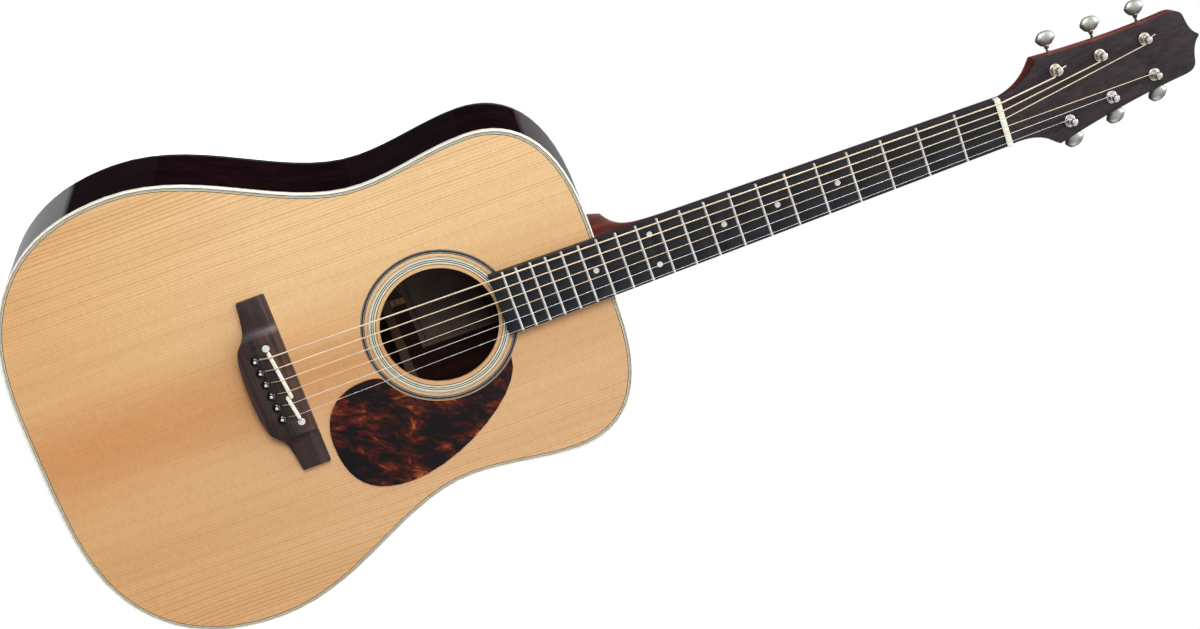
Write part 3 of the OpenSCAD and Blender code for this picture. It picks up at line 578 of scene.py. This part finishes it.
def piece(name, parts, matrix, material, body, replaces, bevel=0.0, subdivide=0, crease=34):
    """One object from parts in millimetres, placed by matrix.

    It rides a body and takes a slot, and stands for the CAD nodes that it replaces.
    """
    bm = bmesh.new()
    for verts, faces in parts:
        new = [bm.verts.new(matrix @ Vector(v)) for v in verts]
        for face in faces:
            bm.faces.new([new[k] for k in face])
    bmesh.ops.recalc_face_normals(bm, faces=bm.faces)
    mesh = bpy.data.meshes.new(name)
    bm.to_mesh(mesh)
    bm.free()
    mesh.shade_smooth()
    obj = bpy.data.objects.new(name, mesh)
    bpy.context.scene.collection.objects.link(obj)
    mesh.materials.append(MATS[material])
    if subdivide:
        sub = obj.modifiers.new("Round", "SUBSURF")
        sub.levels = sub.render_levels = subdivide
    if bevel:
        edges = obj.modifiers.new("Edges", "BEVEL")
        edges.width = bevel / MM_PER_M
        edges.segments = BEVEL_SEGMENTS
        edges.limit_method = "ANGLE"
        edges.angle_limit = PIECE_BEVEL_ANGLE
    if crease:
        split = obj.modifiers.new("Creases", "EDGE_SPLIT")
        split.split_angle = math.radians(crease)
    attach(obj, body)
    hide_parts(*replaces)


# ---------- rosette: concentric inlaid lines ----------
LIGHT, DARK, GREY = "line_light", "line_dark", "line_grey"
# Inner radius of each of the two rings, then the outer radius of each of its lines, going outward
INNER_RING = (54.0, [(54.4, DARK), (54.8, GREY), (56.1, LIGHT), (56.85, DARK), (57.75, LIGHT), (58.5, DARK),
                     (59.9, LIGHT), (60.35, GREY), (60.8, LIGHT), (61.2, DARK)])
OUTER_RING = (63.8, [(64.3, DARK), (65.1, GREY), (66.5, DARK), (67.05, GREY), (67.4, DARK)])
ROSETTE_DEPTH = 1.0
ROSETTE_STEPS = 128


def annulus(inner, outer):
    """A flat ring round the soundhole, let into the soundboard."""
    def ring(r, z):
        return [(r * c, HOLE_Y + r * s, z) for c, s in circle(ROSETTE_STEPS)]

    bottom, top = -ROSETTE_DEPTH, 0.0
    return loft([ring(inner, bottom), ring(outer, bottom), ring(outer, top), ring(inner, top),
                 ring(inner, bottom)], caps=False)


for node, (start, lines) in (("rosette_inner", INNER_RING), ("rosette_outer", OUTER_RING)):
    by_colour = {}
    for outer, colour in lines:
        by_colour.setdefault(colour, []).append(annulus(start, outer))
        start = outer
    for colour, rings in by_colour.items():
        piece(f"{node}_{colour}", rings, FLAT, colour, GUITAR, (node,))


# ---------- purfling: lines inlaid between the binding and the soundboard ----------
# Where each line ends, as a share of the way from the binding to the soundboard
PURFLING = [(0.16, DARK), (0.36, LIGHT), (0.5, DARK), (0.76, LIGHT), (1.0, DARK)]
PURFLING_DEPTH = 1.5
# The soundboard's rebate for the purfling and binding goes down to this level
REBATE_LEVEL = -3.0
BODY_MIDDLE_Y = 265
# What lies inside the outline and is left out of it: the soundhole, and the bridge pins' holes
HOLE_CLEARANCE = 70
PINS_HALF_WIDTH = 40
PINS_LOW_Y, PINS_HIGH_Y = 195, 220


def outline_loop(level):
    """The soundboard's outer outline at a level of the drawing, in order round the body's middle."""
    found = {}
    for v in nodes["soundboard"].data.vertices:
        if abs(-v.co.y * MM_PER_M - TAIL_DEPTH / 2 - level) < 0.02:
            x, y = v.co.x * MM_PER_M, v.co.z * MM_PER_M + KNOB_Y
            at_hole = math.hypot(x, y - HOLE_Y) <= HOLE_CLEARANCE
            at_pins = abs(x) < PINS_HALF_WIDTH and PINS_LOW_Y < y < PINS_HIGH_Y
            if not at_hole and not at_pins:
                found[(round(x, 2), round(y, 2))] = (x, y)
    return sorted(found.values(), key=lambda p: math.atan2(p[1] - BODY_MIDDLE_Y, p[0]))


inside = outline_loop(0.0)
outside = outline_loop(REBATE_LEVEL)
if len(inside) != len(outside):
    raise SystemExit(f"the soundboard's loops differ: {len(inside)} and {len(outside)}")


def between(share, level):
    """The loop at a share of the way from the outside to the inside one."""
    return [(o[0] + (i[0] - o[0]) * share, o[1] + (i[1] - o[1]) * share, level)
            for o, i in zip(outside, inside)]


by_colour = {}
start = 0.0
for end, colour in PURFLING:
    rings = [between(start, -PURFLING_DEPTH), between(end, -PURFLING_DEPTH), between(end, 0.0),
             between(start, 0.0), between(start, -PURFLING_DEPTH)]
    by_colour.setdefault(colour, []).append(loft(rings, caps=False))
    start = end
for colour, rings in by_colour.items():
    piece(f"purfling_{colour}", rings, FLAT, colour, GUITAR, ("purfling_top",))


# ---------- bridge pins ----------
PIN_SPACING = 11.3
FIRST_PIN_Y = 206.2
PIN_SLANT = 0.6
PIN_LEVEL = 8.0
# Profiles from the bottom of a pin to its top: (radius, height over the bridge)
PIN = [(0, -14), (1.5, -14), (1.9, -13.2), (2.35, -6), (2.45, -0.6), (2.5, 0), (3.55, 0.05), (3.85, 0.3),
       (3.9, 0.7), (3.75, 1.3), (3.3, 2.0), (2.6, 2.55), (1.9, 2.85), (1.35, 2.95), (1.3, 2.9), (0, 2.9)]
DOT = [(0, 2.4), (1.25, 2.4), (1.28, 2.95), (1.0, 3.04), (0.5, 3.09), (0, 3.1)]
places = [Matrix.Translation(((i - 2.5) * PIN_SPACING, FIRST_PIN_Y + PIN_SLANT * i, PIN_LEVEL))
          for i in range(len(STRINGS))]
piece("bridge_pins_turned", [lathe(PIN, 32, m) for m in places], FLAT, "black_plastic", GUITAR,
      ("bridge_pins",), crease=50)
piece("bridge_pin_dots", [lathe(DOT, 24, m) for m in places], FLAT, "pearl", GUITAR,
      ("bridge_pins",), crease=50)

# ---------- tuners ----------
POST_FOOT = -HEAD_T - 1.4
POST = [(0, POST_FOOT), (2.85, POST_FOOT), (POST_R, POST_FOOT + 0.2), (POST_R, 1.6), (2.92, 2.4),
        (2.9, COIL_W + 0.9), (POST_R, COIL_W + 1.3), (POST_R, POST_TOP - 0.7), (2.85, POST_TOP - 0.3),
        (2.4, POST_TOP - 0.05), (0, POST_TOP)]
GEAR_LOW, GEAR_HIGH = WORM_Z - GEAR_T / 2, WORM_Z + GEAR_T / 2
HUB = [(0, GEAR_LOW - 1.2), (2.2, GEAR_LOW - 1.2), (2.4, GEAR_LOW - 0.9), (2.4, POST_FOOT), (0, POST_FOOT)]
# The cross hole through the post, and how far the string's end sticks out past the post's middle
HOLE_W = COIL_W + 2.1
TIP_LENGTH = {"low_e": 7.4, "d": 7.6}
SHORT_TIP = 3.5
WINDING_TURNS = 2.4
WINDING_STEPS = 28


def gear_outline():
    """A spur gear's outline with trapezoid teeth, one of them straight up."""
    root, tip = GEAR_R - 0.7, GEAR_R + 0.35
    tooth = ((root, -0.44), (tip, -0.2), (tip, 0.2), (root, 0.44))
    pts = []
    for k in range(TEETH):
        a = math.radians(90) + 2 * math.pi * k / TEETH
        pts += [(r * math.cos(a) - off * math.sin(a), r * math.sin(a) + off * math.cos(a))
                for r, off in tooth]
    return pts


def winding(r, name):
    """The string from where it meets the post: down round it, then up and into the cross hole."""
    reach = POST_R + r
    coil = []
    for k in range(int(WINDING_TURNS * WINDING_STEPS) + 1):
        a = math.pi - 2 * math.pi * k / WINDING_STEPS
        coil.append((reach * math.cos(a), reach * math.sin(a), COIL_W - 2 * r * k / WINDING_STEPS))
    rise = smooth([(-reach, 0, COIL_W), (-reach * 0.98, -0.9, COIL_W + 0.9),
                   (-reach * 0.8, -1.4, HOLE_W - 0.4), (-1.8, -0.9, HOLE_W), (0, 0, HOLE_W)])
    length = TIP_LENGTH.get(name, SHORT_TIP)
    tip = [(0, 0, HOLE_W), (length * 0.3, length * 0.5, HOLE_W),
           (length * 0.4, length * 0.92, HOLE_W + 0.3)]
    thin = min(r, 0.6)
    return [tube(coil, r * 0.96), tube(rise, thin), tube(tip, thin * 0.9)]


SMOOTH_STEPS = 6


def smooth(points):
    """Catmull-Rom curve through the points."""
    pts = [Vector(p) for p in points]
    out = []
    for k in range(len(pts) - 1):
        a, b, c, d = pts[max(k - 1, 0)], pts[k], pts[k + 1], pts[min(k + 2, len(pts) - 1)]
        for step in range(SMOOTH_STEPS):
            t = step / SMOOTH_STEPS
            out.append(0.5 * ((2 * b) + (c - a) * t + (2 * a - 5 * b + 4 * c - d) * t ** 2
                              + (3 * b - a - 3 * c + d) * t ** 3))
    return out + [pts[-1]]


# The button's cross-sections from its stem to its outer end: (distance out, half width, half thickness)
BUTTON = [(-6.7, 2.4, 1.5), (-6.0, 5.0, 2.4), (-4.3, 6.9, 3.2), (-2.3, 8.5, 3.7), (-0.6, 9.8, 3.9),
          (0.8, 9.8, 3.9), (2.5, 8.7, 3.6), (4.4, 7.4, 3.0), (6.0, 5.4, 2.1), (6.7, 3.0, 1.2)]
# How far the cross-sections are from ovals: under 1 is squarer, over 1 more pointed
BUTTON_WIDE_POWER = 0.95
BUTTON_THICK_POWER = 1.15


def button():
    """A bean-shaped knob, skinned over its cross-sections."""
    def powered(value, power):
        return math.copysign(abs(value) ** power, value)

    return loft([[(BUTTON_X + x, half * powered(c, BUTTON_WIDE_POWER), thick * powered(s, BUTTON_THICK_POWER))
                  for c, s in circle(24)] for x, half, thick in BUTTON])


THREAD_TURNS = 3.5
THREAD_STEPS = 36
THREAD_R = 1.78
THREAD_WIRE_R = 0.36


def thread():
    """The worm's thread, a wire wound round the key's shaft."""
    path = []
    for k in range(int(THREAD_TURNS * THREAD_STEPS) + 1):
        a = 2 * math.pi * k / THREAD_STEPS
        path.append((WORM_PITCH * (k / THREAD_STEPS - 2), THREAD_R * math.cos(a), THREAD_R * math.sin(a)))
    return tube(path, THREAD_WIRE_R)


ALONG_X = Matrix.Rotation(math.radians(90), 4, "Y")
# The key's profile from the worm's inner end to the button's stem: (radius, distance out)
SHAFT = [(0, -6.4), (1.1, -6.4), (1.3, -6.2), (1.3, 6.1), (2.3, 6.1), (2.45, 6.3), (2.4, 7.0),
         (2.0, 8.4), (1.7, 10.1), (1.35, 10.3), (1.25, 13.4), (1.6, 14.1), (1.5, 14.5), (1.75, 14.8),
         (2.7, 17.6), (3.0, 18.2), (2.4, 18.8), (0, 18.8)]
WOUND_STRINGS = 4

for i, (name, radius, _, _) in enumerate(STRINGS):
    at_post = post_matrix(i)
    at_key = at_post @ Matrix.Translation((0, WORM_Y, WORM_Z))
    key, post = f"key_{name}", f"post_{name}"
    piece(f"{key}_shaft", [moved(lathe(SHAFT, 28), ALONG_X), thread()], at_key, "nickel", key,
          (key,), crease=40)
    piece(f"{key}_button", [button()], at_key, "nickel_keys", key, (key,), subdivide=1,
          crease=0)
    piece(f"{post}_turned", [lathe(POST, 36), lathe(HUB, 28)], at_post, "nickel_posts", post,
          (post,), crease=40)
    piece(f"{post}_gear", [prism(gear_outline(), GEAR_LOW, GEAR_HIGH)], at_post, "truss_brass", post,
          (post,), bevel=0.08)
    wire = "bronze_strings" if i < WOUND_STRINGS else "steel_strings"
    piece(f"{post}_winding", winding(radius, name), at_post, wire, post, (post,), crease=0)

# ---------- studio ----------
scene = bpy.context.scene
LIGHT_TARGET = Vector((0, -0.05, 0.5))
LIGHT_SIZE = 2.0


def lamp(name, kind, power, toward, location=(0, 0, 0)):
    """Adds a light of a kind that shines toward a direction, and gives back its settings."""
    data = bpy.data.lights.new(name, kind)
    data.energy = power
    obj = bpy.data.objects.new(name, data)
    obj.location = location
    obj.rotation_euler = toward.to_track_quat("-Z", "Y").to_euler()
    scene.collection.objects.link(obj)
    return data


def softbox(name, location, power):
    """A round area light turned to the guitar's middle."""
    data = lamp(name, "AREA", power, LIGHT_TARGET - Vector(location), location)
    data.shape = "DISK"
    data.size = LIGHT_SIZE


softbox("key", (-2.7, -2.6, 0.8), 108)
softbox("fill", (2.9, -1.4, 1.6), 24)
softbox("rear", (1.6, 2.6, 2.0), 60)
lamp("overhead", "SUN", 2.1, Vector((0.05, 0.05, -1))).angle = math.radians(20)

# The camera sees plain white; the guitar is lit and mirrored by a dim room, bright high on the bass side
world = bpy.data.worlds.new("studio")
scene.world = world
world.use_nodes = True
wt = world.node_tree
BRIGHT_SIDE = Vector((-0.5, -0.35, 0.8)).normalized()


def world_node(kind, inputs, **props):
    """A new node of the world: inputs is keyed by the sockets' names or numbers."""
    n = wt.nodes.new("ShaderNode" + kind)
    for key, value in props.items():
        setattr(n, key, value)
    for key, value in inputs.items():
        if isinstance(value, bpy.types.NodeSocket):
            wt.links.new(value, n.inputs[key])
        else:
            n.inputs[key].default_value = value
    return n


def world_range(value, low, high, new_low, new_high):
    """The value's place between low and high, carried over to new_low to new_high and held there."""
    return world_node("MapRange", {"Value": value, "From Min": low, "From Max": high,
                                   "To Min": new_low, "To Max": new_high}).outputs[0]


seen = wt.nodes["Background"]
seen.inputs["Color"].default_value = (1, 1, 1, 1)
direction = world_node("TexCoord", {}).outputs["Generated"]
toward = world_node("VectorMath", {0: direction, 1: BRIGHT_SIDE}, operation="DOT_PRODUCT")
level = world_range(toward.outputs["Value"], -0.1, 0.9, 0.03, 1.35)
# A tall strip of light behind the treble side, mirrored at the neck end of the bass side
axes = world_node("SeparateXYZ", {"Vector": direction}).outputs
strip = world_range(axes["X"], -0.03, 0.02, 0, 0.75)
behind = world_range(axes["Y"], 0.8, 0.86, 0, 1)
glow = world_node("Math", {0: strip, 1: behind}, operation="MULTIPLY")
total = world_node("Math", {0: level, 1: glow.outputs[0]}, operation="ADD")
felt = world_node("Background", {"Color": (1, 1, 1, 1), "Strength": total.outputs[0]})
camera_ray = world_node("LightPath", {}).outputs["Is Camera Ray"]
both = world_node("MixShader", {"Fac": camera_ray, 1: felt.outputs[0], 2: seen.outputs[0]})
wt.links.new(both.outputs[0], wt.nodes["World Output"].inputs["Surface"])

# The floor lies just under the guitar and is half this size each way, in metres
FLOOR_Z = cad_box[0][2] - 0.001
FLOOR_HALF = 12
floor_mesh = bpy.data.meshes.new("floor")
floor_mesh.from_pydata([(x * FLOOR_HALF, y * FLOOR_HALF, FLOOR_Z)
                        for x, y in ((-1, -1), (1, -1), (1, 1), (-1, 1))], [], [(0, 1, 2, 3)])
floor = bpy.data.objects.new("floor", floor_mesh)
scene.collection.objects.link(floor)
# The camera sees the floor white. To the guitar it is dark, apart from a strip behind the bass side
# that is mirrored at that side's tail end.
CAMERA_GLOW = 0.96
pale = Mat("pale_floor", Roughness=0.8, Specular_IOR_Level=0.1, Emission_Color=(1, 1, 1, 1))
seen_by_camera = pale.node("LightPath").outputs["Is Camera Ray"]
worn = pale.ramp(pale.noise(pale.stretch(0.002, 0.002, 0.002), detail=2),
                 [(0.3, srgb(150, 150, 150)), (0.7, srgb(156, 156, 156))])
lit = pale.math("MULTIPLY", pale.mapped(pale.x, -270, -250, 0, 1), pale.mapped(pale.x, -40, -10, 1, 0))
lit = pale.math("MULTIPLY", lit, pale.mapped(pale.y, 60, 140, 0, 1))
unseen = pale.mix(srgb(36, 35, 34), srgb(225, 225, 225), lit)
pale.set(Base_Color=pale.mix(unseen, worn, seen_by_camera),
         Emission_Strength=pale.math("MULTIPLY", seen_by_camera, CAMERA_GLOW))
floor_mesh.materials.append(pale.mat)

# ---------- camera: where it stands, what it looks along and what it holds upright ----------
CAMERA_PLACE = (-0.6976, -2.234, 0.5065)
CAMERA_FORWARD = Vector((0.3215, 0.9469, -0.0015)).normalized()
CAMERA_UP = Vector((-0.8897, 0.3026, 0.3418))
SENSOR_MM = 36
LENS_MM = 80.4
CLIP_END = 60

camera_data = bpy.data.cameras.new("camera")
camera_data.sensor_width = SENSOR_MM
camera_data.lens = LENS_MM
camera_data.clip_end = CLIP_END
camera = bpy.data.objects.new("camera", camera_data)
scene.collection.objects.link(camera)
up = (CAMERA_UP - CAMERA_FORWARD * CAMERA_UP.dot(CAMERA_FORWARD)).normalized()
right = CAMERA_FORWARD.cross(up)
turned = Matrix((right, up, -CAMERA_FORWARD)).transposed().to_4x4()
camera.matrix_world = Matrix.Translation(CAMERA_PLACE) @ turned
scene.camera = camera
scene.view_settings.view_transform = "Standard"
